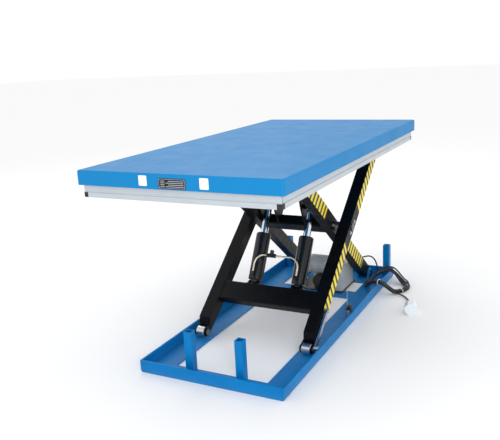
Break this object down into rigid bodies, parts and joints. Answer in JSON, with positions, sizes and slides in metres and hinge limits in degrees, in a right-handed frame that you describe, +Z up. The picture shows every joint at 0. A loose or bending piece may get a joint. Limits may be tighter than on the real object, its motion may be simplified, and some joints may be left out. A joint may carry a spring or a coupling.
{
  "type": "scissor lift table",
  "caption": "Electric-hydraulic scissor lift table with a long rectangular platform, safety trip bar, roller-guided arms, hydraulic cylinders and a power pack in the base.",
  "frame": {"origin": "on the floor, under the middle of the platform", "axes": "+X along the platform from the roller end to the hinged end, +Y to the left, +Z up"},
  "size_m": [2.001, 1.1883, 1.028],
  "materials": {
    "frame_blue": "gloss paint",
    "deck_blue": "satin paint",
    "arm_black": "semi-gloss paint",
    "cylinder_black": "gloss paint",
    "rod_chrome": "polished",
    "bright_steel": "turned",
    "pin_steel": "turned",
    "bush_bronze": "plain bearing",
    "pipe_zinc": "zinc plated",
    "fitting_black": "phosphated",
    "bar_aluminium": "anodised",
    "black_plastic": "moulded",
    "lever_steel": "plain",
    "plate_black": "satin paint",
    "motor_grey": "satin paint",
    "cap_yellow": "moulded",
    "valve_metal": "machined",
    "nameplate_black": "printed, blank",
    "cable_black": "rubber sheath",
    "plug_white": "moulded"
  },
  "bodies": {
    "base": {"left_rail": "frame_blue", "right_rail": "frame_blue", "front_cross_member": "frame_blue", "cross_plates": "frame_blue", "support_posts": "frame_blue", "base_pivot_lugs": "frame_blue", "base_pivot_pins": "pin_steel", "power_pack_plate": "plate_black", "oil_tank": "motor_grey", "tank_cap": "cap_yellow", "pump_block": "motor_grey", "motor": "motor_grey", "motor_fan_cover": "motor_grey", "pump_cover": "black_plastic", "lowering_valve": "valve_metal", "terminal_box": "black_plastic", "limit_switch": "black_plastic", "power_cable": "cable_black", "cable_coil": "cable_black", "plug_cable": "cable_black", "power_plug": "plug_white"},
    "inner_arms": {"left_inner_arm": "arm_black", "right_inner_arm": "arm_black", "arm_bushes": "bush_bronze", "middle_beam": "arm_black", "upper_brackets": "arm_black", "front_tie": "arm_black", "upper_roller_axles": "pin_steel"},
    "outer_arms": {"left_outer_arm": "arm_black", "right_outer_arm": "arm_black", "lower_beam": "arm_black", "lower_cylinder_pins": "pin_steel", "rear_tie": "arm_black", "centre_pivot_pins": "pin_steel", "base_roller_axles": "pin_steel", "prop_pin": "bright_steel"},
    "platform": {"deck": "deck_blue", "deck_stiffeners": "deck_blue", "roller_tracks": "deck_blue", "platform_lugs": "deck_blue", "platform_pivot_pins": "pin_steel", "nameplate": "nameplate_black", "trip_bar_bolts": "bright_steel"},
    "trip_bar": {"end_trip_bars": "bar_aluminium", "side_trip_bars": "bar_aluminium", "trip_bar_corners": "black_plastic"},
    "barrels": {"left_barrel": "cylinder_black", "right_barrel": "cylinder_black", "rod_glands": "cylinder_black", "oil_pipe": "pipe_zinc", "pipe_tee": "fitting_black"},
    "left_piston": {"left_rod": "rod_chrome"},
    "right_piston": {"right_rod": "rod_chrome"},
    "left_lower_roller": {"left_base_roller": "bright_steel"},
    "right_lower_roller": {"right_base_roller": "bright_steel"},
    "left_top_roller": {"left_upper_roller": "bright_steel"},
    "right_top_roller": {"right_upper_roller": "bright_steel"},
    "prop": {"safety_prop": "bright_steel"},
    "lever": {"switch_lever": "lever_steel"}
  },
  "joints": [
    {"name": "scissor_fold", "type": "hinge", "parent": "base", "child": "inner_arms", "pos_m": [0.85, 0, 0.038], "axis": [0, 1, 0], "range_deg": [-31.43, 14.23]},
    {"name": "centre_pivot", "type": "hinge", "parent": "inner_arms", "child": "outer_arms", "pos_m": [0.23763, 0, 0.513], "axis": [0, 1, 0], "range_deg": [-28.5, 62.9]},
    {"name": "platform_pivot", "type": "hinge", "parent": "outer_arms", "child": "platform", "pos_m": [0.85, 0, 0.98801], "axis": [0, 1, 0], "range_deg": [-31.5, 14.3]},
    {"name": "cylinder_pivot", "type": "hinge", "parent": "outer_arms", "child": "barrels", "pos_m": [-0.0745, 0, 0.22169], "axis": [0, 1, 0], "range_deg": [-4.2, 2]},
    {"name": "left_rod_slide", "type": "slide", "parent": "barrels", "child": "left_piston", "axis": [0.5, 0, 0.866], "range_m": [-0.1413, 0.064]},
    {"name": "right_rod_slide", "type": "slide", "parent": "barrels", "child": "right_piston", "axis": [0.5, 0, 0.866], "range_m": [-0.1413, 0.064]},
    {"name": "left_lower_roller_spin", "type": "hinge", "parent": "outer_arms", "child": "left_lower_roller", "pos_m": [-0.37474, 0.3065, 0.038], "axis": [0, 1, 0], "continuous": true},
    {"name": "right_lower_roller_spin", "type": "hinge", "parent": "outer_arms", "child": "right_lower_roller", "pos_m": [-0.37474, -0.3065, 0.038], "axis": [0, 1, 0], "continuous": true},
    {"name": "left_top_roller_spin", "type": "hinge", "parent": "inner_arms", "child": "left_top_roller", "pos_m": [-0.37474, 0.212, 0.98801], "axis": [0, 1, 0], "continuous": true},
    {"name": "right_top_roller_spin", "type": "hinge", "parent": "inner_arms", "child": "right_top_roller", "pos_m": [-0.37474, -0.212, 0.98801], "axis": [0, 1, 0], "continuous": true},
    {"name": "trip_bar_lift", "type": "slide", "parent": "platform", "child": "trip_bar", "axis": [0, 0, 1], "range_m": [0, 0.01], "stiffness_N_per_m": 3000, "springref_m": -0.012},
    {"name": "prop_hinge", "type": "hinge", "parent": "outer_arms", "child": "prop", "pos_m": [-0.20388, -0.35, 0.18319], "axis": [0, 1, 0], "range_deg": [0, 35]},
    {"name": "switch_lever_swing", "type": "hinge", "parent": "base", "child": "lever", "pos_m": [0.108, -0.3495, 0.087], "axis": [0, 1, 0], "range_deg": [-15, 15], "stiffness_Nm_per_rad": 0.2}
  ],
  "couplings": [
    {"joint": "centre_pivot", "follows": "scissor_fold", "ratio": -2},
    {"joint": "platform_pivot", "follows": "scissor_fold", "ratio": 1},
    {"joint": "cylinder_pivot", "follows": "scissor_fold", "ratio": 0.12954},
    {"joint": "left_rod_slide", "follows": "scissor_fold", "m_per_rad": 0.25737},
    {"joint": "right_rod_slide", "follows": "scissor_fold", "m_per_rad": 0.25737}
  ]
}
